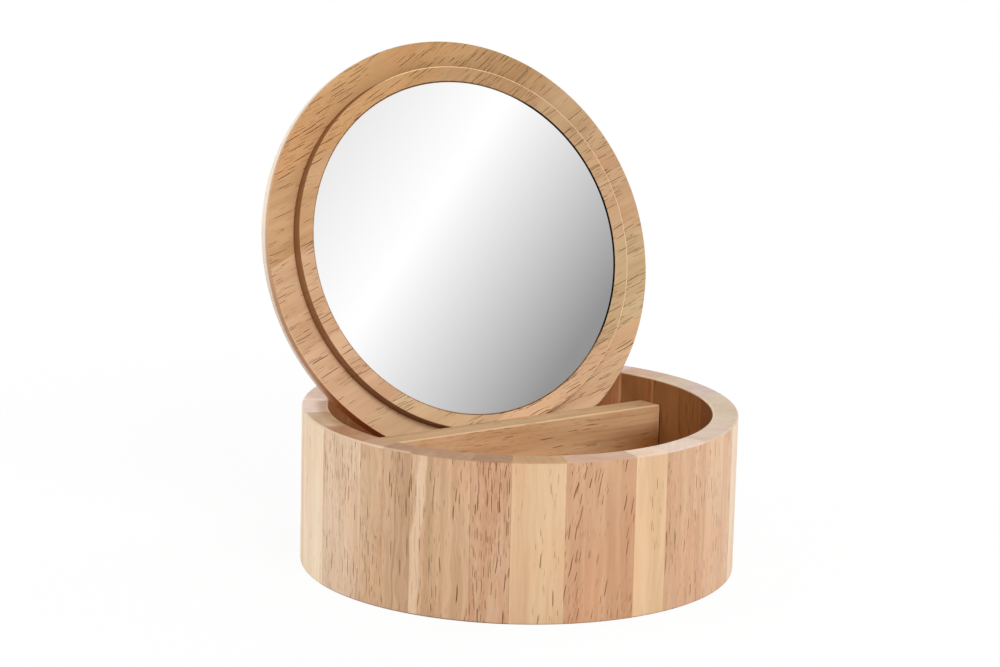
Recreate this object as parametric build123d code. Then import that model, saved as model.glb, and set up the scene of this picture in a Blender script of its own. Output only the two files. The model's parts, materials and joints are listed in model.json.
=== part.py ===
from build123d import *
import os
from math import cos, hypot, radians, sin

os.makedirs("parts", exist_ok=True)

# Round wooden vanity box. A ring of upright staves and a floor make the body,
# and one straight divider parts it. The lid is a loose stepped board with a
# mirror in its plug. It stands on edge in the rear compartment and leans back
# on the rim, with the mirror to the front.
# Millimetres. +Z is up and the origin is the middle of the underside. The
# divider runs along X, and the open front compartment is towards -Y.

# ---- body ----
outer_radius = 90.0
body_height = 66.0
wall = 10.6
# widths of the staves along the outer face, counter-clockwise from the first
# joint; each takes its share of the whole circle, so the ring always closes
stave_widths = [26.0, 12.0, 13.0, 25.5, 16.0, 21.5, 29.5, 15.5, 23.5, 28.0,
                24.5, 28.5, 23.5, 18.5, 20.0, 27.0, 19.5, 26.0, 22.0, 29.0,
                17.5, 24.5, 28.0, 21.0, 25.5]
first_joint_angle = 174.8  # degrees from +X
rim_inner_ease = 1.0
rim_outer_ease = 0.8
foot_ease = 0.8

# ---- floor ----
floor_thickness = 8.0
floor_rebate = 5.0  # how far the floor reaches under the wall
floor_glue_gap = 0.1  # between the floor's edge and the wall
floor_board_widths = [40.0, 45.0, 43.0, 41.0]  # shares of the floor's diameter

# ---- divider ----
divider_front = 8.9  # from the middle back to its front face
divider_thickness = 10.9
divider_drop = 10.8  # its top lies this far below the rim
divider_end_gap = 0.15
divider_ease = 0.8

# ---- lid ----
lid_oversize = 0.0  # the lid is flush with the wall when the box is shut
flange_thickness = 6.8
plug_height = 5.0
plug_clearance = 1.4  # all round, between the plug and the wall
lid_back_ease = 1.2
lid_front_ease = 0.3
plug_ease = 0.6
ease_flats = 3  # each eased edge of the lid is sanded in this many narrow flats
grain_angle = 26.0  # degrees, the lid's strips against the lid's own level
lid_strip_widths = [22.5, 32.5, 37.0, 36.0, 29.0, 23.0]  # shares of the lid's diameter

# ---- mirror ----
mirror_border = 6.3  # plain wood between the recess and the plug's edge
mirror_gap = 0.3  # round the glass
mirror_thickness = 2.0
mirror_sunk = 0.5  # the glass lies this far below the plug's face
mirror_arris = 0.3
pad_thickness = 0.4
pad_radius = 9.0
pad_inset = 27.0  # from the mirror's edge to the middle of each outer pad
outer_pads = 4

# ---- how the lid stands ----
lid_lean = 21.2  # degrees, back from upright
lid_turn = 4.5  # degrees, the mirror looks this much towards -X
lid_sideways = 0.8  # set down this far to the right of the middle
seat_gap = 0.3  # to the divider and to the rim
rim_search_steps = 720  # points tried round the lid's back edge
height_search_steps = 40

# ---- sizes that follow ----
cavity_radius = outer_radius - wall
floor_radius = cavity_radius + floor_rebate
divider_back = divider_front + divider_thickness
divider_top = body_height - divider_drop
lid_radius = outer_radius + lid_oversize
plug_radius = cavity_radius - plug_clearance
recess_radius = plug_radius - mirror_border
recess_depth = mirror_sunk + mirror_thickness + pad_thickness
mirror_radius = recess_radius - mirror_gap

up = Vector(0, 0, 1)
turn = radians(-lid_turn)
lean = radians(lid_lean)
lid_across = Vector(cos(turn), sin(turn), 0)
level_back = Vector(-sin(turn), cos(turn), 0)
lid_up = level_back * sin(lean) + up * cos(lean)
lid_front = up * sin(lean) - level_back * cos(lean)


def turned_outline(corners):
    """Closed outline to turn about Z; each corner is (radius, height, rounding)."""
    points = [(radius, 0, height) for radius, height, rounding in corners]
    roundings = [rounding for radius, height, rounding in corners]
    return FilletPolyline(*points, radius=roundings, close=True)


def flatten_roundings(outline, flats):
    """The same outline with each rounding replaced by narrow flats inside it."""
    points = []
    for edge in outline.order_edges():
        steps = flats if edge.geom_type == GeomType.CIRCLE else 1
        points += [edge @ (step / steps) for step in range(steps)]
    return Polyline(*points, close=True)


def stave(start_angle, sweep):
    """One upright stave: a sector of the wall, rebated below for the floor."""
    seat_radius = floor_radius + floor_glue_gap
    outline = turned_outline([
        (seat_radius, 0, 0),
        (outer_radius, 0, foot_ease),
        (outer_radius, body_height, rim_outer_ease),
        (cavity_radius, body_height, rim_inner_ease),
        (cavity_radius, floor_thickness, 0),
        (seat_radius, floor_thickness, 0),
    ])
    sector = revolve(make_face(outline), Axis.Z, sweep)
    return Rot(0, 0, start_angle) * sector


def rip(blank, widths, diameter, angle, height):
    """Saw a round blank into strips that lie at an angle to X."""
    scale = diameter / sum(widths)
    edge = -diameter / 2
    strips = []
    for width in widths:
        saw = Box(2 * diameter, width * scale, 2 * height)
        middle = edge + width * scale / 2
        strips.append(blank & (Rot(0, 0, angle) * Pos(0, middle, 0) * saw))
        edge += width * scale
    return strips


def floor_panel():
    """Round panel whose edge lies in the staves' rebate."""
    return Pos(0, 0, floor_thickness / 2) * Cylinder(floor_radius, floor_thickness)


def divider():
    """Straight bar whose ends follow the wall, with eased top edges."""
    height = divider_top - floor_thickness
    middle = Pos(0, divider_front + divider_thickness / 2, floor_thickness + height / 2)
    bar = middle * Box(2 * outer_radius, divider_thickness, height)
    inside = Pos(0, 0, body_height / 2) * Cylinder(cavity_radius - divider_end_gap, body_height)
    bar = bar & inside
    top = bar.faces().sort_by(Axis.Z)[-1]
    return fillet(top.edges(), divider_ease)


def lid_blank():
    """Turned lid, in its own frame: the flange's front face is at height 0."""
    outline = turned_outline([
        (0, -flange_thickness, 0),
        (lid_radius, -flange_thickness, lid_back_ease),
        (lid_radius, 0, lid_front_ease),
        (plug_radius, 0, 0),
        (plug_radius, plug_height, plug_ease),
        (recess_radius, plug_height, 0),
        (recess_radius, plug_height - recess_depth, 0),
        (0, plug_height - recess_depth, 0),
    ])
    return revolve(make_face(flatten_roundings(outline, ease_flats)), Axis.Z, 360)


def mirror():
    """Round glass with a ground arris, lying just below the plug's face."""
    middle = plug_height - mirror_sunk - mirror_thickness / 2
    glass = Pos(0, 0, middle) * Cylinder(mirror_radius, mirror_thickness)
    front = glass.faces().sort_by(Axis.Z)[-1]
    return chamfer(front.edges(), mirror_arris)


def mirror_pads():
    """Dabs of glue that hold the glass: one in the middle and a ring."""
    middle = plug_height - recess_depth + pad_thickness / 2
    pad = Pos(0, 0, middle) * Cylinder(pad_radius, pad_thickness)
    ring = PolarLocations(mirror_radius - pad_inset, outer_pads)
    return Compound(children=[pad] + [place * pad for place in ring])


def divider_distance():
    """How far behind the middle the lid's centre stands to clear the divider.

    Both front edges of the lid, the plug's and the flange's, are rings with an
    eased corner; the nearer one keeps the gap to the divider's back face.
    """
    forward = hypot(lid_across.Y, lid_up.Y)
    edges = [
        (plug_radius, plug_height, plug_ease),
        (lid_radius, 0.0, lid_front_ease),
    ]
    needs = []
    for radius, height, ease in edges:
        ring_centre = lid_front.Y * (height - ease)
        needs.append((radius - ease) * forward + ease - ring_centre)
    return divider_back + seat_gap + max(needs)


def lid_centre(height):
    """Middle of the flange's front face, with the lid standing at a height."""
    behind = (divider_distance() - lid_sideways * lid_across.Y) / level_back.Y
    return lid_across * lid_sideways + level_back * behind + up * height


def rim_gap(height):
    """Gap between the lid's eased back edge and the rim's rounded inner edge.

    Each edge is taken as a ring with a round section, so the gap is the
    distance between the two rings' centre lines less both roundings. The
    lid's flats lie just inside that section.
    """
    ring_radius = cavity_radius + rim_inner_ease
    ring_height = body_height - rim_inner_ease
    centre = lid_centre(height) - lid_front * (flange_thickness - lid_back_ease)
    smallest = 2 * outer_radius
    for step in range(rim_search_steps):
        angle = radians(360 * step / rim_search_steps)
        outward = lid_across * cos(angle) + lid_up * sin(angle)
        point = centre + outward * (lid_radius - lid_back_ease)
        reach = hypot(point.X, point.Y)
        if point.Z < ring_height and reach > cavity_radius - lid_back_ease:
            return -1.0
        smallest = min(smallest, hypot(reach - ring_radius, point.Z - ring_height))
    return smallest - rim_inner_ease - lid_back_ease


def lid_seat():
    """Where the lid comes to rest: as low as the rim lets it stand."""
    low = body_height
    high = body_height + 2 * lid_radius
    for _ in range(height_search_steps):
        height = (low + high) / 2
        if rim_gap(height) < seat_gap:
            low = height
        else:
            high = height
    return Plane(origin=lid_centre(high), x_dir=lid_across, z_dir=lid_front)


def save(name, shape):
    shape.label = name
    export_step(shape, f"parts/{name}.step")


def make_body():
    joint_angle = first_joint_angle
    for number, width in enumerate(stave_widths, start=1):
        sweep = 360 * width / sum(stave_widths)
        save(f"stave_{number:02d}", stave(joint_angle, sweep))
        joint_angle += sweep
    boards = rip(floor_panel(), floor_board_widths, 2 * floor_radius, 0, body_height)
    for number, board in enumerate(boards, start=1):
        save(f"floor_board_{number}", board)
    save("divider", divider())


def make_lid():
    seat = lid_seat().location
    thickness = flange_thickness + plug_height
    strips = rip(lid_blank(), lid_strip_widths, 2 * lid_radius, grain_angle, thickness)
    for number, strip in enumerate(strips, start=1):
        save(f"lid_strip_{number}", seat * strip)
    save("mirror", seat * mirror())
    save("mirror_pads", seat * mirror_pads())
    print("lid centre", seat.position, "slides along", lid_up)


make_body()
make_lid()
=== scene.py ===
import json
import math

import bpy
import numpy as np
from mathutils import Matrix, Quaternion, Vector


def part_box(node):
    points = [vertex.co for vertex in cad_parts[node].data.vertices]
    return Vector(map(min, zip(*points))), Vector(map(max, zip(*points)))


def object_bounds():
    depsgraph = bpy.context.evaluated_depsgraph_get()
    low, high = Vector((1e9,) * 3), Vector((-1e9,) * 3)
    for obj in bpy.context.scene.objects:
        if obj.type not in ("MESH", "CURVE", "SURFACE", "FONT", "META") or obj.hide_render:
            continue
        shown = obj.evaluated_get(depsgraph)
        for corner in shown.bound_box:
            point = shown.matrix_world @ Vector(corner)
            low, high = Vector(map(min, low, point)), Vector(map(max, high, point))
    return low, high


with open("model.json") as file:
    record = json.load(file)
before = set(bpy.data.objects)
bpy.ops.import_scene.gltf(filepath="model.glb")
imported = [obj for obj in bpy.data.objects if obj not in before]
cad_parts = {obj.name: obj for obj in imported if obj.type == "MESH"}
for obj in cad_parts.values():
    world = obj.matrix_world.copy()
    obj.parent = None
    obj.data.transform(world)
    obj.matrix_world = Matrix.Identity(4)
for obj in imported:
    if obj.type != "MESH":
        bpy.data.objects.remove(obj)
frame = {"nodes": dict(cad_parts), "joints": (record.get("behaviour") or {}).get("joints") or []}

# Round vanity box of upright wooden staves, with its mirror lid stood on edge in it.
# Every wooden piece keeps its own tone, streaks and pores; patterns are worked out in
# millimetres along and across the grain of the piece that they lie on.
# A pair of numbers called an edge is where a soft step starts and ends: a level of the
# pattern where it belongs to one, and elsewhere mm from the face or radius in hand.

cadLow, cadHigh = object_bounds()
cadNodes = frame["nodes"]
mm = 0.001


def feed(tree, socket, term):    # a term is a plain value or another node's output
    if isinstance(term, bpy.types.NodeSocket):
        tree.links.new(term, socket)
    else:
        socket.default_value = term


def calc(tree, how, *terms):
    made = tree.nodes.new("ShaderNodeMath")
    made.operation = how
    for socket, term in zip(made.inputs, terms):
        feed(tree, socket, term)
    return made.outputs[0]


def product(tree, first, *others):
    total = first
    for term in others:
        total = calc(tree, "MULTIPLY", total, term)
    return total


def weighted(tree, *pairs):    # sum of value times weight
    total = None
    for value, weight in pairs:
        part = calc(tree, "MULTIPLY", value, weight)
        total = part if total is None else calc(tree, "ADD", total, part)
    return total


def centred(tree, value):    # a noise or a random number, moved to lie round 0
    return calc(tree, "SUBTRACT", value, 0.5)


def blend(tree, share, low, high):    # low where the share is 0, high where it is 1
    return calc(tree, "MULTIPLY_ADD", share, high - low, low)


def ramp(tree, value, start, end, low=0.0, high=1.0):    # smooth step from low to high
    made = tree.nodes.new("ShaderNodeMapRange")
    made.interpolation_type = "SMOOTHSTEP"
    names = ("Value", "From Min", "From Max", "To Min", "To Max")
    for name, term in zip(names, (value, start, end, low, high)):
        feed(tree, made.inputs[name], term)
    return made.outputs["Result"]


def fade(tree, value, start, end):    # 1 up to the start, 0 past the end
    return ramp(tree, value, start, end, 1.0, 0.0)


def between(tree, value, rise, fall):    # 1 between two soft edges
    return product(tree, ramp(tree, value, *rise), fade(tree, value, *fall))


def span(base, edge):
    return base + edge[0], base + edge[1]


def vector(tree, x, y, z):
    made = tree.nodes.new("ShaderNodeCombineXYZ")
    for socket, term in zip(made.inputs, (x, y, z)):
        feed(tree, socket, term)
    return made.outputs[0]


def parts(tree, source):
    made = tree.nodes.new("ShaderNodeSeparateXYZ")
    feed(tree, made.inputs[0], source)
    return made.outputs[0], made.outputs[1], made.outputs[2]


def axisDistance(tree, x, y):
    squares = calc(tree, "ADD", calc(tree, "POWER", x, 2.0), calc(tree, "POWER", y, 2.0))
    return calc(tree, "SQRT", squares)


def noise(tree, place, octaves=1.0, roughness=0.5, distortion=0.0):
    made = tree.nodes.new("ShaderNodeTexNoise")
    feed(tree, made.inputs["Vector"], place)
    made.inputs["Scale"].default_value = 1.0
    made.inputs["Detail"].default_value = octaves
    made.inputs["Roughness"].default_value = roughness
    made.inputs["Distortion"].default_value = distortion
    return made.outputs["Fac"]


def pattern(tree, across, along, size, seed, depth=None, octaves=1.0, roughness=0.5, distortion=0.0):
    # Noise stretched to a size: mm across, mm along, and its own shift for each seed.
    wide, long, shift = size
    layer = shift * seed
    if depth is not None:
        layer = calc(tree, "MULTIPLY_ADD", depth, 1 / wide, layer)
    place = vector(tree, calc(tree, "DIVIDE", across, wide), calc(tree, "DIVIDE", along, long), layer)
    return noise(tree, place, octaves, roughness, distortion)


def cells(tree, x, y, scale):
    made = tree.nodes.new("ShaderNodeTexVoronoi")
    made.voronoi_dimensions = "2D"
    feed(tree, made.inputs["Vector"], vector(tree, x, y, 0.0))
    made.inputs["Scale"].default_value = scale
    return made.outputs


def paint(tree, share, under, over, how="MIX"):
    made = tree.nodes.new("ShaderNodeMix")
    made.data_type = "RGBA"
    made.blend_type = how
    feed(tree, made.inputs[0], share)
    feed(tree, made.inputs[6], under)
    feed(tree, made.inputs[7], over)
    return made.outputs[2]


def tone(red, green, blue):    # a colour as a screen shows it, 0 to 255
    def linear(value):
        value = value / 255
        return value / 12.92 if value <= 0.04045 else ((value + 0.055) / 1.055) ** 2.4
    return (linear(red), linear(green), linear(blue), 1.0)


def newMaterial(name):
    made = bpy.data.materials.new(name)
    made.use_nodes = True
    return made, made.node_tree, made.node_tree.nodes["Principled BSDF"]


def wear(name, material):    # puts a material in every slot of a CAD node
    data = cadNodes[name].data
    if not data.materials:
        data.materials.append(material)
    for index in range(len(data.materials)):
        data.materials[index] = material


def nodePoints(name):
    data = cadNodes[name].data
    points = np.empty(len(data.vertices) * 3)
    data.vertices.foreach_get("co", points)
    return points.reshape(-1, 3)


def nodeNames(start):
    return sorted(name for name in cadNodes if name.startswith(start))


def seedOf(look, index):    # no two pieces show the same stretch of a pattern
    first, step = look["seeds"]
    return first + step * index


def objectPlace(tree, middle=(0, 0, 0), turned=None):
    # Object coordinates in mm, seen from a piece's own middle and axes.
    place = tree.nodes.new("ShaderNodeTexCoord").outputs["Object"]
    mapping = tree.nodes.new("ShaderNodeMapping")
    mapping.vector_type = "TEXTURE"
    mapping.inputs["Location"].default_value = middle
    if turned is not None:
        mapping.inputs["Rotation"].default_value = turned.to_euler()
    mapping.inputs["Scale"].default_value = (mm, mm, mm)
    feed(tree, mapping.inputs["Vector"], place)
    return parts(tree, mapping.outputs[0])


dashLook = {
    "shift": (31.7, 17.3),        # cells across and along, for each seed
    "slopes": 0.10,               # how far the dashes' slopes differ
    "halfWidth": (0.35, 0.65),    # narrowest and widest, as shares of the width
    "halfLength": (0.14, 0.50),
    "strength": (0.45, 1.0),
    "dashEdge": (0.4, 1.0),       # the dash and the stain round it fade out over these reaches
    "stainEdge": (0.5, 5.0),
}


def dashes(tree, across, along, size, share, lean, seed):
    # One narrow dash in each cell of a jittered grid: where its reach, (x / half width)^2 +
    # (y / half length)^4, is under 1, both scaled by the cell's own random numbers. Cells
    # whose first random number is under 1 - share stay empty. A soft stain goes round it.
    cellWide, cellLong, width, length = size
    shiftX, shiftY = dashLook["shift"]
    gridX = calc(tree, "ADD", calc(tree, "DIVIDE", across, cellWide), shiftX * seed)
    gridY = calc(tree, "ADD", calc(tree, "DIVIDE", along, cellLong), shiftY * seed)
    cell = cells(tree, gridX, gridY, 1.0)
    centreX, centreY, _ = parts(tree, cell["Position"])
    first, second, third = parts(tree, cell["Color"])
    offX = product(tree, calc(tree, "SUBTRACT", gridX, centreX), cellWide)
    offY = product(tree, calc(tree, "SUBTRACT", gridY, centreY), cellLong)
    slope = calc(tree, "MULTIPLY_ADD", centred(tree, third), dashLook["slopes"], lean)
    offX = calc(tree, "SUBTRACT", offX, product(tree, offY, slope))
    halfWidth = blend(tree, third, *(width * part for part in dashLook["halfWidth"]))
    halfLength = blend(tree, second, *(length * part for part in dashLook["halfLength"]))
    reach = calc(tree, "ADD",
                 calc(tree, "POWER", calc(tree, "DIVIDE", offX, halfWidth), 2.0),
                 calc(tree, "POWER", calc(tree, "DIVIDE", offY, halfLength), 4.0))
    kept = calc(tree, "GREATER_THAN", first, calc(tree, "SUBTRACT", 1.0, share))
    strength = product(tree, blend(tree, second, *dashLook["strength"]), kept)
    dash = fade(tree, reach, *dashLook["dashEdge"])
    stain = fade(tree, reach, *dashLook["stainEdge"])
    return product(tree, dash, strength), product(tree, stain, strength)


woodDetail = {    # a size is mm across, mm along and the pattern's own shift for each seed, and
    # a noise is its octaves, roughness and distortion
    "slowSize": (14.0, 45.0, 5.1),      # slow and quick bends of the grain
    "quickSize": (4.0, 9.0, 6.3),
    "wander": 3.0,                      # and how far they go, mm
    "wobble": 1.6,
    "poreWander": 3.0,                  # pores bend no further than this
    "poreWobble": 0.9,
    "streakSize": (7.0, 110.0, 3.3),    # broad soft bands of tone
    "streakNoise": (3.0, 0.55, 0.3),
    "streakEdge": (0.34, 0.66),
    "bandSize": (2.4, 48.0, 5.9),       # narrower bands inside them
    "bandNoise": (2.0, 0.6, 0.6),
    "bandEdge": (0.34, 0.60),
    "bandTone": (0.90, 0.87, 0.83, 1.0),
    "fibreSize": (0.6, 24.0, 7.7),      # and fine lines
    "fibreNoise": (2.0, 0.6, 0.0),
    "fibreEdge": (0.25, 0.75),
    "fibreContrast": 0.06,
    "cloudSize": (16.0, 38.0, 12.3),    # soft pink clouds
    "cloudEdge": (0.42, 0.66),
    "blush": (1.0, 0.94, 0.91, 1.0),
    "crowdSize": (9.0, 40.0, 9.9),      # where pores crowd together
    "crowdEdge": (0.38, 0.60),
    "crowdShare": (0.15, 1.6),
    "pores": (1.9, 8.0, 0.30, 8.5),     # one to a cell: cell across and along, width, length
    "poreShare": 0.95,
    "hairs": (0.95, 4.6, 0.19, 4.0),    # smaller pores between them
    "hairShare": 0.45,
    "bolds": (5.0, 12.0, 0.40, 7.5),    # and a few deep ones
    "hairSeed": 0.5,                    # keep the three from falling in step
    "boldSeed": 0.8,
    "stain": (0.88, 0.72, 0.50, 1.0),   # what the pores leave round themselves
    "stainShare": 0.45,
    "hairStain": 0.7,
    "poreDepth": 0.10,                  # mm, in the bump
    "hairDepth": 0.04,
    "fibreDepth": 0.010,
    "shineEdge": (0.3, 0.7),
    "roughness": (0.50, 0.64),
    "refraction": 1.45,
}


def woodGrain(tree, along, across, depth, look, detail):
    # Colour, roughness and height of a face cut along the grain. Places are in mm.
    seed, lean = look["seed"], look.get("lean", 0.0)
    wander, wobble = look.get("wander", detail["wander"]), look.get("wobble", detail["wobble"])
    slow = centred(tree, pattern(tree, across, along, detail["slowSize"], seed))
    quick = centred(tree, pattern(tree, across, along, detail["quickSize"], seed, octaves=0.0))
    straight = weighted(tree, (across, 1.0), (slow, min(wander, detail["poreWander"])),
                        (quick, min(wobble, detail["poreWobble"])))
    bent = weighted(tree, (across, 1.0), (slow, wander), (quick, wobble))

    streak = pattern(tree, bent, along, detail["streakSize"], seed, depth, *detail["streakNoise"])
    band = pattern(tree, bent, along, detail["bandSize"], seed, depth, *detail["bandNoise"])
    fibre = pattern(tree, bent, along, detail["fibreSize"], seed, depth, *detail["fibreNoise"])
    cloud = pattern(tree, bent, along, detail["cloudSize"], seed)
    crowd = pattern(tree, bent, along, detail["crowdSize"], seed)
    crowd = ramp(tree, crowd, *detail["crowdEdge"], *detail["crowdShare"])

    pores, poreStain = dashes(tree, straight, along, detail["pores"],
                              product(tree, crowd, look["pores"]), lean, seed)
    hairs, hairStain = dashes(tree, straight, along, detail["hairs"],
                              product(tree, crowd, look["hairs"]), lean, seed + detail["hairSeed"])
    stain = calc(tree, "MAXIMUM", poreStain, product(tree, hairStain, detail["hairStain"]))
    if "bolds" in look:
        bolds, boldStain = dashes(tree, straight, along, detail["bolds"],
                                  look["bolds"], lean, seed + detail["boldSeed"])
        pores = calc(tree, "MAXIMUM", pores, bolds)
        stain = calc(tree, "MAXIMUM", stain, boldStain)

    colour = paint(tree, ramp(tree, streak, *detail["streakEdge"]), look["light"], look["dark"])
    colour = paint(tree, ramp(tree, cloud, *detail["cloudEdge"]), colour, detail["blush"], "MULTIPLY")
    banding = ramp(tree, band, *detail["bandEdge"], look.get("bands", 1.0), 0.0)
    colour = paint(tree, banding, colour, detail["bandTone"], "MULTIPLY")
    fine = detail["fibreContrast"]
    shade = ramp(tree, fibre, *detail["fibreEdge"], 1.0 - fine, 1.0 + fine / 2)
    colour = paint(tree, 1.0, colour, vector(tree, shade, shade, shade), "MULTIPLY")
    colour = paint(tree, product(tree, stain, detail["stainShare"]), colour, detail["stain"], "MULTIPLY")
    colour = paint(tree, product(tree, hairs, detail["hairShare"]), colour, look["pore"])
    colour = paint(tree, product(tree, pores, detail["poreShare"]), colour, look["pore"])
    roughness = ramp(tree, fibre, *detail["shineEdge"], *detail["roughness"])
    height = weighted(tree, (fibre, detail["fibreDepth"]), (pores, -detail["poreDepth"]),
                      (hairs, -detail["hairDepth"]))
    return colour, roughness, height


def finishWood(tree, shader, colour, roughness, height):
    bump = tree.nodes.new("ShaderNodeBump")
    bump.inputs["Strength"].default_value = 1.0
    bump.inputs["Distance"].default_value = mm
    feed(tree, bump.inputs["Height"], height)
    feed(tree, shader.inputs["Base Color"], colour)
    feed(tree, shader.inputs["Roughness"], roughness)
    feed(tree, shader.inputs["Normal"], bump.outputs[0])
    shader.inputs["IOR"].default_value = woodDetail["refraction"]


endDetail = {    # of the grain on the rim, where the staves are cut across
    "ringTurn": 2.4,                 # radians, for each seed
    "ringSize": (2.6, 12.0, 4.1),
    "ringNoise": (2.0, 0.5, 0.4),
    "ringEdge": (0.25, 0.75),
    "ringShare": (0.15, 0.85),
    "cloudSize": (8.0, 8.0, 2.2),
    "cloudEdge": (0.35, 0.70),
    "cloudShare": 0.15,
    "blotchSize": (13.0, 13.0, 0.0),    # these run on from stave to stave
    "blotchEdge": (0.40, 0.62),
    "poresPerMm": 1.05,
    "poreEdge": (0.07, 0.16),        # as shares of a cell
    "poreShare": 0.16,
    "poreDepth": 0.05,
}


def endGrain(tree, x, y, plainX, plainY, look):
    # Soft rings, clouds and blotches, and each pore as a dot. Places are in mm.
    seed = look["seed"]
    turn = endDetail["ringTurn"] * seed
    ringX = weighted(tree, (x, math.cos(turn)), (y, math.sin(turn)))
    ringY = weighted(tree, (x, -math.sin(turn)), (y, math.cos(turn)))
    ring = pattern(tree, ringX, ringY, endDetail["ringSize"], seed, None, *endDetail["ringNoise"])
    cloud = pattern(tree, x, y, endDetail["cloudSize"], seed)
    blotch = pattern(tree, plainX, plainY, endDetail["blotchSize"], seed)
    pore = fade(tree, cells(tree, x, y, endDetail["poresPerMm"])["Distance"], *endDetail["poreEdge"])
    ring = ramp(tree, ring, *endDetail["ringEdge"], *endDetail["ringShare"])
    cloud = ramp(tree, cloud, *endDetail["cloudEdge"], 0.0, endDetail["cloudShare"])
    blotch = ramp(tree, blotch, *endDetail["blotchEdge"])
    colour = paint(tree, ring, look["endLight"], look["endDark"])
    colour = paint(tree, cloud, colour, look["light"])
    colour = paint(tree, blotch, colour, look["blotch"], "MULTIPLY")
    colour = paint(tree, product(tree, pore, endDetail["poreShare"]), colour, look["pore"])
    return colour, product(tree, pore, -endDetail["poreDepth"])


wallLook = {
    "seeds": (1.0, 0.73),
    "pore": tone(98, 54, 26),
    "blotch": (0.94, 0.91, 0.89, 1.0),
    "rimEdge": (-0.9, -0.4),           # from the top: end grain starts here
    "glueWidth": 0.14,
    "glueShade": tone(150, 104, 70),
    "glueShare": (0.5, 0.2),           # on the faces and on the rim
    "glueDepth": 0.05,
    "oilAndShading": (0.52, 0.36, 0.21, 1.0),    # inside, the wall is oiled dark, with painted shade over the oil
    "oilAndShadingEdge": (0.1, 0.3),           # from the inner face
    "rimOilAndShade": (0.62, 0.49, 0.35, 1.0),
    "rimShare": 0.0,                   # how dark the rim is made beside the lid: oil, and painted shade of the lid
    "rimOilAndShadeEdge": (2.1, 6.6),        # from the inner face
    "edgeHighlight": tone(238, 216, 190),
    "outerShare": 0.0,                 # how strong the painted highlights on the rim's roundings are
    "outerTopEdge": (-0.85, -0.55),
    "outerEdge": (-0.8, -0.5),
    "innerShare": 0.7,
    "innerTopEdge": (-1.0, -0.7),
    "innerEdge": (0.5, 0.9),
    "footShade": tone(104, 70, 46),
    "footShare": 0.3,
    "footEdge": (0.35, 0.65),
    "veinBend": 19.0,                  # mm up the stave
    "veinOctaves": 2.0,
    "veinCore": 0.4,                   # of a vein's half width
    "barShade": tone(52, 28, 14),      # painted shade: a dark line where the divider's front face meets the wall
    "barShare": 0.85,
    "barStartEdge": (-0.50, -0.35),
    "barEndEdge": (0.1, 0.3),
    "barTopEdge": (-0.3, 0.0),
}

staveTones = {    # light, dark, pores, hairs, narrow bands
    "cream": (tone(234, 212, 182), tone(226, 199, 164), 0.05, 0.12, 0.3),
    "pale": (tone(221, 188, 150), tone(212, 176, 137), 0.09, 0.12, 0.45),
    "tan": (tone(214, 181, 149), tone(203, 167, 134), 0.45, 0.80, 0.9),
    "streaked": (tone(206, 170, 137), tone(192, 155, 121), 0.40, 0.65, 1.2),
    "pinkTan": (tone(209, 172, 140), tone(199, 158, 125), 0.24, 0.42, 0.8),
    "pink": (tone(205, 168, 136), tone(194, 150, 117), 0.70, 0.65, 1.0),
    "orange": (tone(204, 162, 127), tone(194, 148, 112), 0.40, 0.35, 0.7),
}
endTones = {    # light, dark
    "milk": (tone(252, 236, 224), tone(243, 221, 207)),
    "pearl": (tone(233, 211, 198), tone(220, 194, 178)),
    "ivory": (tone(228, 204, 182), tone(218, 190, 165)),
    "shell": (tone(221, 201, 186), tone(210, 187, 170)),
    "linen": (tone(209, 189, 171), tone(199, 177, 156)),
    "grey": (tone(207, 189, 181), tone(194, 171, 159)),
    "cream": (tone(206, 188, 167), tone(195, 174, 148)),
    "rose": (tone(206, 174, 152), tone(192, 156, 132)),
    "blossom": (tone(203, 170, 147), tone(191, 154, 130)),
    "oat": (tone(199, 171, 143), tone(178, 144, 108)),
    "olive": (tone(188, 152, 110), tone(176, 138, 94)),
    "fawn": (tone(187, 152, 121), tone(175, 138, 106)),
    "sand": (tone(175, 139, 108), tone(163, 126, 95)),
    "dull": (tone(172, 138, 110), tone(160, 122, 94)),
    "brown": (tone(170, 126, 91), tone(158, 111, 75)),
    "umber": (tone(165, 129, 99), tone(152, 114, 84)),
}

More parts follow.
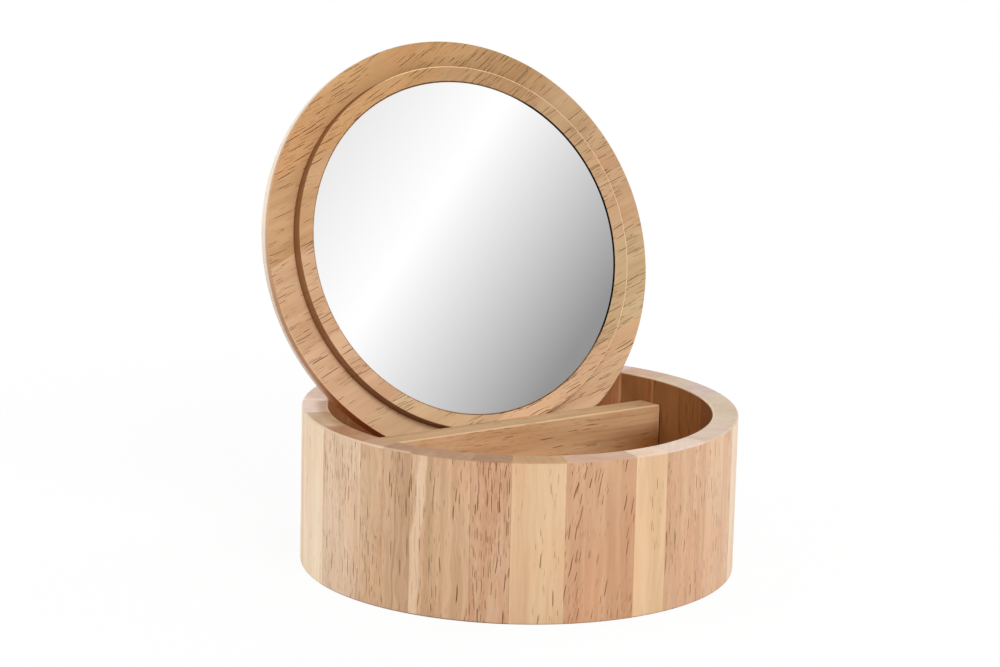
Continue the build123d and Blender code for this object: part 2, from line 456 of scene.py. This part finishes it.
# from the first stave on, counter-clockwise: tone of the faces, tone of the end grain
staveOrder = [
    ("tan", "brown"), ("tan", "fawn"), ("streaked", "dull"), ("streaked", "sand"), ("pink", "umber"),
    ("pale", "olive"), ("orange", "blossom"), ("pale", "ivory"), ("pinkTan", "shell"), ("pinkTan", "linen"),
    ("cream", "cream"), ("pink", "cream"), ("tan", "grey"), ("pale", "cream"), ("pinkTan", "rose"),
    ("orange", "grey"), ("tan", "cream"), ("pink", "grey"), ("pale", "cream"), ("orange", "rose"),
    ("pinkTan", "grey"), ("tan", "cream"), ("orange", "milk"), ("cream", "pearl"), ("cream", "oat"),
]
# painted light: the inside of staves 01 and 20 to 25 is made redder and brighter, as if lit by light
# bounced in the box
reddishBounce = (1.0, 0.82, 0.62, 1.0)
brighterBounce = (1.1, 0.92, 0.72, 1.0)
deepPore = tone(74, 38, 18)
# a painted highlight: a thin light line up staves 15 and 16
highlightLine = tone(232, 198, 162)
staveExtras = {    # veins: middle across at the foot, lean, half width, sway, share and tone
    "stave_01": {"oilAndShading": reddishBounce, "glueWidth": 0.09, "footShare": 0.9, "outerShare": 0.6, "hairs": 1.1,
                 "light": tone(224, 195, 166), "dark": tone(213, 181, 151)},
    "stave_02": {"glueWidth": 0.09, "footShare": 0.9, "outerShare": 0.5, "wobble": 3.0,
                 "light": tone(211, 178, 145), "dark": tone(200, 164, 130)},
    "stave_03": {"footShare": 0.9, "outerShare": 0.3, "wobble": 5.0, "wander": 6.0,
                 "pore": deepPore, "pores": 0.28, "hairs": 0.45, "bolds": 0.35,
                 "light": tone(203, 167, 134), "dark": tone(189, 152, 119),
                 "veins": [(-1.4, 0.03, 0.5, 3.0, 0.35, tone(132, 88, 56))]},
    "stave_04": {"footShare": 0.9, "wobble": 2.5, "wander": 5.0,
                 "pore": deepPore, "pores": 0.25, "hairs": 0.45, "bolds": 0.40,
                 "veins": [(-11.2, 0.055, 2.9, 5.0, 0.65, tone(226, 198, 167)),
                           (-5.4, 0.03, 2.0, 5.0, 0.55, tone(176, 142, 104)),
                           (1.4, 0.0, 0.9, 3.0, 0.25, tone(176, 138, 102))]},
    "stave_05": {"footShare": 0.7, "bolds": 0.75, "wobble": 2.5},
    "stave_06": {"light": tone(215, 182, 144), "dark": tone(206, 169, 131)},
    "stave_07": {"lean": 0.15, "bolds": 0.22, "pores": 0.35, "hairs": 0.28},
    "stave_08": {"innerShare": 1.0},
    "stave_09": {"innerShare": 1.0, "bolds": 0.15},
    "stave_10": {"innerShare": 1.0, "light": tone(214, 179, 147), "dark": tone(205, 166, 134)},
    "stave_11": {"innerShare": 1.0, "oilAndShading": (0.42, 0.28, 0.14, 1.0),
                 "light": tone(223, 200, 174), "dark": tone(214, 188, 159)},
    "stave_12": {"innerShare": 1.0, "oilAndShading": (0.40, 0.22, 0.09, 1.0)},
    "stave_13": {"oilAndShading": (0.49, 0.29, 0.12, 1.0)},
    "stave_14": {"oilAndShading": (0.48, 0.31, 0.16, 1.0)},
    "stave_15": {"oilAndShading": (0.62, 0.41, 0.22, 1.0), "veins": [(-8.9, 0.0, 0.9, 0.8, 0.7, highlightLine)]},
    "stave_16": {"oilAndShading": (0.92, 0.70, 0.50, 1.0), "veins": [(-12.6, 0.0, 0.8, 0.8, 0.6, highlightLine)]},
    "stave_20": {"oilAndShading": reddishBounce},
    "stave_21": {"oilAndShading": reddishBounce},
    "stave_22": {"oilAndShading": reddishBounce},
    "stave_23": {"oilAndShading": brighterBounce},
    "stave_24": {"oilAndShading": brighterBounce, "rimShare": 0.8},
    "stave_25": {"oilAndShading": brighterBounce, "rimShare": 0.6, "outerShare": 0.6,
                 "light": tone(240, 219, 191), "dark": tone(232, 207, 175)},
}

barLow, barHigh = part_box("divider")
barFront, barTop = barLow[1] / mm, barHigh[2] / mm


def staveVeins(tree, colour, z, across, look):    # bands that wander up the stave
    for foot, lean, half, sway, share, veinTone in look.get("veins", []):
        place = vector(tree, calc(tree, "DIVIDE", z, look["veinBend"]), look["seed"] + half, 0.0)
        bend = centred(tree, noise(tree, place, look["veinOctaves"]))
        middle = calc(tree, "ADD", calc(tree, "MULTIPLY_ADD", z, lean, foot), product(tree, bend, sway))
        off = calc(tree, "ABSOLUTE", calc(tree, "SUBTRACT", across, middle))
        colour = paint(tree, ramp(tree, off, half * look["veinCore"], half, share, 0.0), colour, veinTone)
    return colour


def wallMaterial(name, toneName, endName, seed):
    points = nodePoints(name)
    reach = np.hypot(points[:, 0], points[:, 1])
    inner, outer, top = reach.min() / mm, reach.max() / mm, points[:, 2].max() / mm
    middle = points[:, :2].mean(axis=0)
    turned = Matrix.Rotation(math.atan2(middle[1], middle[0]), 3, "Z")
    local = points @ np.array(turned)
    halfWidth = np.abs(np.arctan2(local[:, 1], local[:, 0])).max() * outer

    light, dark, pores, hairs, bands = staveTones[toneName]
    endLight, endDark = endTones[endName]
    look = dict(wallLook, light=light, dark=dark, pores=pores, hairs=hairs, bands=bands, seed=seed,
                endLight=endLight, endDark=endDark)
    look.update(staveExtras.get(name, {}))
    material, tree, shader = newMaterial("wood_" + name)
    x, y, z = objectPlace(tree, turned=turned)
    plainX, plainY, _ = objectPlace(tree)
    radius = axisDistance(tree, x, y)
    across = product(tree, calc(tree, "ARCTAN2", y, x), outer)
    colour, roughness, height = woodGrain(tree, z, across, radius, look, woodDetail)
    colour = staveVeins(tree, colour, z, across, look)
    # the inside face: oil and painted shade, and on some staves painted reddish light
    oilAndShading = fade(tree, radius, *span(inner, look["oilAndShadingEdge"]))
    colour = paint(tree, oilAndShading, colour, look["oilAndShading"], "MULTIPLY")

    # the rim: end grain, with painted highlights on both of its roundings
    endColour, endHeight = endGrain(tree, x, y, plainX, plainY, look)
    # painted shade of the lid on the rim beside it, with some oil
    if look["rimShare"]:
        rimDarkened = ramp(tree, radius, *span(inner, look["rimOilAndShadeEdge"]), look["rimShare"], 0.0)
        endColour = paint(tree, rimDarkened, endColour, look["rimOilAndShade"], "MULTIPLY")
    rim = ramp(tree, z, *span(top, look["rimEdge"]))
    colour = paint(tree, rim, colour, endColour)
    outerHighlight = product(tree, ramp(tree, z, *span(top, look["outerTopEdge"])),
                          ramp(tree, radius, *span(outer, look["outerEdge"]), 0.0, look["outerShare"]))
    innerHighlight = product(tree, ramp(tree, z, *span(top, look["innerTopEdge"])),
                          ramp(tree, radius, *span(inner, look["innerEdge"]), look["innerShare"], 0.0))
    colour = paint(tree, calc(tree, "MAXIMUM", outerHighlight, innerHighlight), colour, look["edgeHighlight"])

    # glue at both joints, painted shade along the foot, and painted shade in the corner beside the divider
    glue = ramp(tree, calc(tree, "ABSOLUTE", across), halfWidth - look["glueWidth"], halfWidth)
    glueShare = blend(tree, rim, *look["glueShare"])
    colour = paint(tree, product(tree, glue, glueShare), colour, look["glueShade"])
    foot = ramp(tree, z, *look["footEdge"], look["footShare"], 0.0)
    colour = paint(tree, foot, colour, look["footShade"])
    beside = between(tree, plainY, span(barFront, look["barStartEdge"]), span(barFront, look["barEndEdge"]))
    under = ramp(tree, z, *span(barTop, look["barTopEdge"]), look["barShare"], 0.0)
    colour = paint(tree, product(tree, beside, oilAndShading, under), colour, look["barShade"])
    height = weighted(tree, (height, calc(tree, "SUBTRACT", 1.0, rim)), (endHeight, rim),
                      (glue, -look["glueDepth"]))
    finishWood(tree, shader, colour, roughness, height)
    return material


staveNames = nodeNames("stave_")
for index, name in enumerate(staveNames):
    wear(name, wallMaterial(name, *staveOrder[index], seedOf(wallLook, index)))
print("box wall:", len(staveNames), "staves")


insideLook = {
    "seeds": (20.0, 1.37),
    "light": tone(228, 187, 144),
    "dark": tone(213, 170, 126),
    "pore": tone(120, 76, 46),
    "pores": 0.16,
    "hairs": 0.35,
    "wander": 5.0,
}

dividerLook = {
    "seed": 31.0,
    "top": (0.76, 0.79, 0.78, 1.0),
    "topEdge": (-0.3, -0.1),
    "easedLight": tone(232, 196, 152),    # its eased edges get a painted highlight
    "easedShare": 0.5,
    "easedEdge": (-0.7, -0.42),
    "endEdge": (-0.8, -0.5),
    "lowShade": (0.38, 0.22, 0.08, 1.0),    # painted shade with some oil: darker low down, towards the right end
    "lowShadeEdge": (-16.0, -4.0),
    "lowShadeAlong": (20.0, 85.0),
}


def dividerTones(tree, colour, x, y, z, half):
    look = dividerLook
    colour = paint(tree, ramp(tree, z, *span(half[2], look["topEdge"])), colour, look["top"], "MULTIPLY")
    top = ramp(tree, z, *span(half[2], look["easedEdge"]))
    side = ramp(tree, calc(tree, "ABSOLUTE", y), *span(half[1], look["easedEdge"]))
    end = ramp(tree, x, *span(half[0], look["endEdge"]))
    eased = calc(tree, "MAXIMUM", product(tree, top, side), product(tree, end, side))
    colour = paint(tree, product(tree, eased, look["easedShare"]), colour, look["easedLight"])
    lowShade = product(tree, fade(tree, z, *span(half[2], look["lowShadeEdge"])),
                     ramp(tree, x, *look["lowShadeAlong"]))
    return paint(tree, lowShade, colour, look["lowShade"], "MULTIPLY")


def boardMaterial(name, seed):
    # Grain along X. Across is Y plus Z, so that both the top and the sides show it.
    low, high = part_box(name)
    look = dict(insideLook, seed=seed)
    material, tree, shader = newMaterial("wood_" + name)
    x, y, z = objectPlace(tree, (low + high) / 2)
    colour, roughness, height = woodGrain(tree, x, calc(tree, "ADD", y, z), z, look, woodDetail)
    if name == "divider":
        colour = dividerTones(tree, colour, x, y, z, (high - low) / 2 / mm)
    finishWood(tree, shader, colour, roughness, height)
    return material


for index, name in enumerate(nodeNames("floor_board_")):
    wear(name, boardMaterial(name, seedOf(insideLook, index)))
wear("divider", boardMaterial("divider", dividerLook["seed"]))
print("floor boards and divider")


# In the looks of the lid, three plain numbers are a sector of its circle: its middle, half
# its width and its soft border, in degrees.
lidLook = {
    "seeds": (41.0, 1.91),
    "pore": tone(66, 30, 10),
    "wander": 0.8,
    "wobble": 0.6,
    "farEnd": (0.78, 0.79, 0.73, 1.0),    # painted shade: every strip is darker towards its right end
    "farAlong": (-50.0, 80.0),
}

# from the lowest strip up: grain angle in degrees, bow of the grain per mm, tones, pores, hairs
stripLooks = [
    (20.0, 0.0, tone(241, 203, 166), tone(232, 190, 152), 0.75, 0.50),
    (20.0, 0.0, tone(223, 191, 152), tone(213, 177, 138), 0.75, 0.35),
    (23.0, 0.0, tone(222, 183, 147), tone(212, 169, 133), 0.70, 0.30),
    (25.0, 0.0008, tone(213, 175, 138), tone(203, 161, 124), 0.75, 0.35),
    (27.0, 0.0022, tone(202, 161, 119), tone(191, 148, 105), 0.85, 0.45),
    (27.0, 0.0022, tone(207, 162, 115), tone(196, 148, 101), 0.85, 0.50),
]

lidDetail = dict(woodDetail, pores=(2.2, 11.0, 0.25, 12.0), hairs=(1.2, 6.5, 0.18, 6.0), hairShare=0.60,
                 streakSize=(9.0, 120.0, 3.3), bandTone=(0.94, 0.92, 0.89, 1.0), fibreContrast=0.04,
                 blush=(1.0, 0.97, 0.95, 1.0), stainShare=0.35)

lidUp = Vector(frame["joints"][0]["axis"]).normalized()
lidAcross = lidUp.cross(Vector((0, 0, 1))).normalized()
lidFront = lidAcross.cross(lidUp)


def reachAlong(names, direction, origin):
    # lowest and highest distance along a direction, over some nodes' corners
    distances = [(nodePoints(name) - np.array(origin)) @ np.array(direction) for name in names]
    return min(each.min() for each in distances), max(each.max() for each in distances)


stripNames = nodeNames("lid_strip_")
centre = Vector((0, 0, 0))
for direction in (lidAcross, lidUp, lidFront):
    low, high = reachAlong(["mirror"], direction, (0, 0, 0))
    centre = centre + direction * (low + high) / 2
lidMiddle = centre + lidFront * reachAlong(stripNames, lidFront, centre)[1]    # middle of the plug's face
lidTurned = Matrix((lidAcross, lidUp, lidFront)).transposed()
lidRadius = reachAlong(stripNames, lidAcross, centre)[1] / mm
mirrorRadius = reachAlong(["mirror"], lidAcross, centre)[1] / mm
plugRadius, plugHeight, recessRadius = 78.0, 5.0, 71.7    # mm
print("lid: radius %.1f mm, mirror radius %.1f mm" % (lidRadius, mirrorRadius))


def sector(tree, x, y, radius, middle, half, soft):
    # 1 inside a sector of a circle, in degrees from X, fading to 0 over its soft border
    middle = math.radians(middle)
    facing = weighted(tree, (x, math.cos(middle)), (y, math.sin(middle)))
    cosine = calc(tree, "DIVIDE", facing, radius)
    return ramp(tree, cosine, math.cos(math.radians(half + soft)), math.cos(math.radians(half)))


stepLook = {    # heights are from the plug's face, reaches from its radius
    "face": (0.96, 0.95, 0.94, 1.0),
    "faceEdge": (-0.6, -0.5),
    "wallShade": tone(128, 82, 45),    # painted shade: the step's wall is dark brown
    "wallShadeShare": 0.95,
    "wallShadeStartEdge": (-0.65, -0.5),
    "wallShadeEndEdge": (0.10, 0.25),
    "wallShadeTopEdge": (-0.62, -0.50),
    "leftTopEdge": (-0.12, -0.05),    # the painted shade starts higher up on the left
    "left": (185.0, 60.0, 25.0),
    "wallShadeFootEdge": (-0.3, -0.2),
    "eased": tone(255, 222, 176),    # a painted highlight on its eased edge, on the right
    "easedShare": 0.85,
    "easedStartEdge": (-0.45, -0.3),
    "easedEndEdge": (0.1, 0.3),
    "easedTopEdge": (-0.7, -0.6),
    "lit": (25.0, 75.0, 20.0),
}


def stepTones(tree, colour, x, y, z, radius):
    look = stepLook
    face = fade(tree, radius, *span(plugRadius, look["faceEdge"]))
    colour = paint(tree, face, colour, look["face"], "MULTIPLY")
    left = sector(tree, x, y, radius, *look["left"])
    below = paint(tree, left, fade(tree, z, *look["wallShadeTopEdge"]), fade(tree, z, *look["leftTopEdge"]))
    wall = between(tree, radius, span(plugRadius, look["wallShadeStartEdge"]),
                   span(plugRadius, look["wallShadeEndEdge"]))
    above = ramp(tree, z, *span(-plugHeight, look["wallShadeFootEdge"]))
    colour = paint(tree, product(tree, wall, below, above, look["wallShadeShare"]), colour, look["wallShade"])
    eased = between(tree, radius, span(plugRadius, look["easedStartEdge"]),
                    span(plugRadius, look["easedEndEdge"]))
    eased = product(tree, eased, ramp(tree, z, *look["easedTopEdge"]),
                    sector(tree, x, y, radius, *look["lit"]), look["easedShare"])
    return paint(tree, eased, colour, look["eased"])


recessLook = {
    # painted light: the recess wall is pale elsewhere round the glass
    "pale": tone(208, 168, 128),
    "glue": tone(16, 11, 8),          # painted shade: a dark line in the gap on one side of the glass
    "glued": (10.0, 42.0, 12.0),
    "startEdge": (-0.2, -0.05),
    "endEdge": (0.02, 0.08),
    "topEdge": (-0.08, -0.03),
    "footEdge": (-4.0, -3.9),
}


def recessTones(tree, colour, x, y, z, radius):
    look = recessLook
    # painted shade in the gap on one side, and painted light on the recess wall elsewhere
    wall = between(tree, radius, span(recessRadius, look["startEdge"]), span(recessRadius, look["endEdge"]))
    depth = between(tree, z, look["footEdge"], look["topEdge"])
    glued = sector(tree, x, y, radius, *look["glued"])
    return paint(tree, product(tree, wall, depth), colour, paint(tree, glued, look["pale"], look["glue"]))


sideLook = {    # the lid's outer edge
    "reachEdge": (-0.22, -0.12),
    "back": tone(240, 222, 202),        # painted highlight, pale, and painted shade, greyer, where the lid stands in the box
    "backShade": tone(206, 188, 168),
    "front": tone(200, 160, 124),       # tan along its front, with painted shade making it browner below
    "frontShade": tone(166, 118, 80),
    "low": (235.0, 30.0, 45.0),
    "border": (-1.4, -3.6),             # behind the step: where front meets back, above and below
    "borderSoft": (1.0, 0.6),
    "sideShade": tone(160, 92, 46),        # painted shade, low on the left beside the rim
    "shadeSector": (246.0, 14.0, 24.0),
    # a painted highlight on the eased front edge, low on the left
    "eased": tone(255, 222, 176),
    "easedShare": 0.35,
    "easedReachEdge": (-0.42, -0.32),
    "easedEdge": (-0.35, -0.25),
    "lit": (225.0, 25.0, 15.0),
}


def sideTones(tree, colour, x, y, z, radius):
    look = sideLook
    low = sector(tree, x, y, radius, *look["low"])
    border = blend(tree, low, *span(-plugHeight, look["border"]))
    behind, before = look["borderSoft"]
    front = ramp(tree, z, calc(tree, "SUBTRACT", border, behind), calc(tree, "ADD", border, before))
    side = paint(tree, front, paint(tree, low, look["back"], look["backShade"]),
                 paint(tree, low, look["front"], look["frontShade"]))
    side = paint(tree, sector(tree, x, y, radius, *look["shadeSector"]), side, look["sideShade"])
    colour = paint(tree, ramp(tree, radius, *span(lidRadius, look["reachEdge"])), colour, side)
    eased = product(tree, ramp(tree, radius, *span(lidRadius, look["easedReachEdge"])),
                    ramp(tree, z, *span(-plugHeight, look["easedEdge"])),
                    sector(tree, x, y, radius, *look["lit"]), look["easedShare"])
    return paint(tree, eased, colour, look["eased"])


def lidMaterial(name, angle, bow, light, dark, pores, hairs, seed):
    look = dict(lidLook, light=light, dark=dark, pores=pores, hairs=hairs, seed=seed)
    material, tree, shader = newMaterial("wood_" + name)
    x, y, z = objectPlace(tree, lidMiddle, lidTurned)
    radius = axisDistance(tree, x, y)

    # along = x cos a + y sin a; across = y cos a - x sin a - bow * along^2 / 2
    grain = math.radians(angle)
    along = weighted(tree, (x, math.cos(grain)), (y, math.sin(grain)))
    across = weighted(tree, (y, math.cos(grain)), (x, -math.sin(grain)),
                      (calc(tree, "POWER", along, 2.0), -bow / 2))
    colour, roughness, height = woodGrain(tree, along, across, z, look, lidDetail)
    colour = paint(tree, ramp(tree, along, *look["farAlong"]), colour, look["farEnd"], "MULTIPLY")
    for addTones in (stepTones, recessTones, sideTones):
        colour = addTones(tree, colour, x, y, z, radius)
    finishWood(tree, shader, colour, roughness, height)
    return material


for index, name in enumerate(stripNames):
    wear(name, lidMaterial(name, *stripLooks[index], seedOf(lidLook, index)))
print("lid:", len(stripNames), "strips")


mirrorLook = {
    "silver": tone(253, 253, 253),
    "edge": tone(24, 24, 24),           # ground arris, with painted shade on the side where the gap is dark
    "edgeEdge": (-0.40, -0.30),
    "edgeRoughness": 0.3,
    "filmSize": (30.0, 30.0, 0.0),
    "filmOctaves": 3.0,
    "filmEdge": (0.35, 0.65),
    "roughness": (0.012, 0.03),
}

glueLook = {
    "light": tone(226, 222, 205),
    "dark": tone(205, 198, 176),
    "lumpOctaves": 2.0,
    "lumpEdge": (0.2, 0.8),
    "roughness": (0.35, 0.60),
}


def mirrorMaterial():
    look = mirrorLook
    material, tree, shader = newMaterial("silvered_glass")
    x, y, z = objectPlace(tree, lidMiddle, lidTurned)
    radius = axisDistance(tree, x, y)
    edge = product(tree, ramp(tree, radius, *span(mirrorRadius, look["edgeEdge"])),
                   sector(tree, x, y, radius, *recessLook["glued"]))
    film = pattern(tree, x, y, look["filmSize"], 0.0, octaves=look["filmOctaves"])
    roughness = calc(tree, "ADD", ramp(tree, film, *look["filmEdge"], *look["roughness"]),
                     product(tree, edge, look["edgeRoughness"]))
    feed(tree, shader.inputs["Base Color"], paint(tree, edge, look["silver"], look["edge"]))
    feed(tree, shader.inputs["Roughness"], roughness)
    shader.inputs["Metallic"].default_value = 1.0
    return material


def glueMaterial():
    look = glueLook
    material, tree, shader = newMaterial("set_glue")
    place = vector(tree, *objectPlace(tree, lidMiddle, lidTurned))
    lumps = noise(tree, place, look["lumpOctaves"])
    feed(tree, shader.inputs["Base Color"], paint(tree, lumps, look["light"], look["dark"]))
    feed(tree, shader.inputs["Roughness"], ramp(tree, lumps, *look["lumpEdge"], *look["roughness"]))
    return material


wear("mirror", mirrorMaterial())
wear("mirror_pads", glueMaterial())
print("mirror")


studio = {
    "floorRadius": 6.0,
    "floorSides": 96,
    "floorTone": (0.86, 0.86, 0.86, 1.0),
    "floorWhite": (0.93, 1.0),    # how much of the floor is plain white to the camera, near and far
    "floorReach": (0.16, 0.55),
    "backTowards": (0.564, 0.826, 0.0),    # a white backdrop stands behind the object
    "backSpan": (-0.1, 0.6),
    "backBright": 0.90,
    "fill": 0.46,
    "sheenTowards": (-0.687, 0.035, 0.726),    # what the mirror shows: bright above, dim below
    "sheenMiddle": 0.860,
    "sheenSlope": 12.7,
    "sheenHighest": 1.02,
    "sheenTurn": 1.06,            # past this it falls again
    "sheenFall": 0.44,
    "sheenDim": 0.30,
    "sheenBackSpan": (-0.1, 0.3),
}

lamps = {    # place, size and power
    "softbox": ((-0.15, -1.18, 1.00), 0.8, 13.8),
    "sideLight": ((-1.06, 0.38, 0.50), 0.7, 4.3),
    "rightLight": ((1.15, 0.05, 0.50), 0.5, 4.4),
}


def studioFloor():
    # A flat disc: one ring of points, at (r cos t, r sin t), round the middle.
    turns = np.linspace(0, 2 * math.pi, studio["floorSides"], endpoint=False)
    ring = np.stack([np.cos(turns), np.sin(turns), np.zeros_like(turns)], axis=1) * studio["floorRadius"]
    points = np.vstack([ring, [[0, 0, 0]]])
    count = len(ring)
    faces = [(i, (i + 1) % count, count) for i in range(count)]
    data = bpy.data.meshes.new("studio_floor")
    data.from_pydata(points.tolist(), [], faces)
    floor = bpy.data.objects.new("studio_floor", data)
    bpy.context.scene.collection.objects.link(floor)

    material, tree, shader = newMaterial("studio_floor")
    tree.nodes.remove(shader)
    plain = tree.nodes.new("ShaderNodeBsdfDiffuse")
    plain.inputs["Color"].default_value = studio["floorTone"]
    white = tree.nodes.new("ShaderNodeEmission")
    white.inputs["Color"].default_value = (1, 1, 1, 1)
    path = tree.nodes.new("ShaderNodeLightPath")
    seen = calc(tree, "MAXIMUM", path.outputs["Is Camera Ray"],
                calc(tree, "MAXIMUM", path.outputs["Is Glossy Ray"], path.outputs["Is Transmission Ray"]))
    x, y, _ = objectPlace(tree)
    near, far = studio["floorReach"]
    share = ramp(tree, axisDistance(tree, x, y), near / mm, far / mm, *studio["floorWhite"])
    mix = tree.nodes.new("ShaderNodeMixShader")
    feed(tree, mix.inputs[0], product(tree, seen, share))
    tree.links.new(plain.outputs[0], mix.inputs[1])
    tree.links.new(white.outputs[0], mix.inputs[2])
    tree.links.new(mix.outputs[0], tree.nodes["Material Output"].inputs["Surface"])
    data.materials.append(material)


def towards(tree, direction, fixed):    # dot product with a fixed direction
    made = tree.nodes.new("ShaderNodeVectorMath")
    made.operation = "DOT_PRODUCT"
    feed(tree, made.inputs[0], direction)
    made.inputs[1].default_value = fixed
    return made.outputs["Value"]


def studioDome():
    world = bpy.data.worlds.new("studio_dome")
    bpy.context.scene.world = world
    world.use_nodes = True
    tree = world.node_tree
    direction = tree.nodes.new("ShaderNodeTexCoord").outputs["Generated"]
    behind = towards(tree, direction, studio["backTowards"])
    fill = ramp(tree, behind, *studio["backSpan"], studio["fill"], studio["backBright"])

    # sheen rises in a straight line to its highest, falls past its turn, and is never too dim
    sheen = calc(tree, "MULTIPLY_ADD", towards(tree, direction, studio["sheenTowards"]),
                 studio["sheenSlope"], studio["sheenMiddle"])
    past = calc(tree, "MAXIMUM", calc(tree, "SUBTRACT", sheen, studio["sheenTurn"]), 0.0)
    sheen = calc(tree, "SUBTRACT", calc(tree, "MINIMUM", sheen, studio["sheenHighest"]),
                 product(tree, past, studio["sheenFall"]))
    dimmest = ramp(tree, behind, *studio["sheenBackSpan"], studio["sheenDim"], 1.0)
    sheen = calc(tree, "MAXIMUM", sheen, dimmest)

    path = tree.nodes.new("ShaderNodeLightPath")
    level = paint(tree, path.outputs["Is Glossy Ray"], vector(tree, fill, fill, fill),
                  vector(tree, sheen, sheen, sheen))
    level = paint(tree, path.outputs["Is Camera Ray"], level, (1, 1, 1, 1))
    back = tree.nodes["Background"]
    feed(tree, back.inputs["Color"], level)
    back.inputs["Strength"].default_value = 1.0


def studioLamp(name, place, size, power):
    lamp = bpy.data.lights.new(name, "AREA")
    lamp.shape = "SQUARE"
    lamp.size = size
    lamp.energy = power
    holder = bpy.data.objects.new(name, lamp)
    bpy.context.scene.collection.objects.link(holder)
    holder.visible_glossy = False    # the dome is what the mirror shows
    holder.location = place
    holder.rotation_mode = "QUATERNION"
    aim = (cadLow + cadHigh) / 2 - Vector(place)
    holder.rotation_quaternion = aim.to_track_quat("-Z", "Y")


cameraSetup = {
    "distance": 1.41614,      # metres from the middle of the box's underside
    "azimuth": -34.71,
    "elevation": 16.567,
    "aim": (-0.00291, 0.01180, 0.09457),
    "roll": 1.381,
    "lens": 121.905,
    "sensor": 36.0,
    "farthest": 50.0,
}


def photoCamera():
    turn, rise = math.radians(cameraSetup["azimuth"]), math.radians(cameraSetup["elevation"])
    away = Vector((math.sin(turn) * math.cos(rise), -math.cos(turn) * math.cos(rise), math.sin(rise)))
    data = bpy.data.cameras.new("camera")
    data.lens = cameraSetup["lens"]
    data.sensor_width = cameraSetup["sensor"]
    data.clip_end = cameraSetup["farthest"]
    camera = bpy.data.objects.new("camera", data)
    bpy.context.scene.collection.objects.link(camera)
    camera.location = away * cameraSetup["distance"]
    camera.rotation_mode = "QUATERNION"
    aimed = (Vector(cameraSetup["aim"]) - camera.location).to_track_quat("-Z", "Y")
    camera.rotation_quaternion = aimed @ Quaternion((0, 0, 1), math.radians(cameraSetup["roll"]))
    bpy.context.scene.camera = camera


studioFloor()
studioDome()
for lampName, setup in lamps.items():
    studioLamp(lampName, *setup)
photoCamera()
bpy.context.scene.view_settings.view_transform = "Standard"
print("studio and camera")
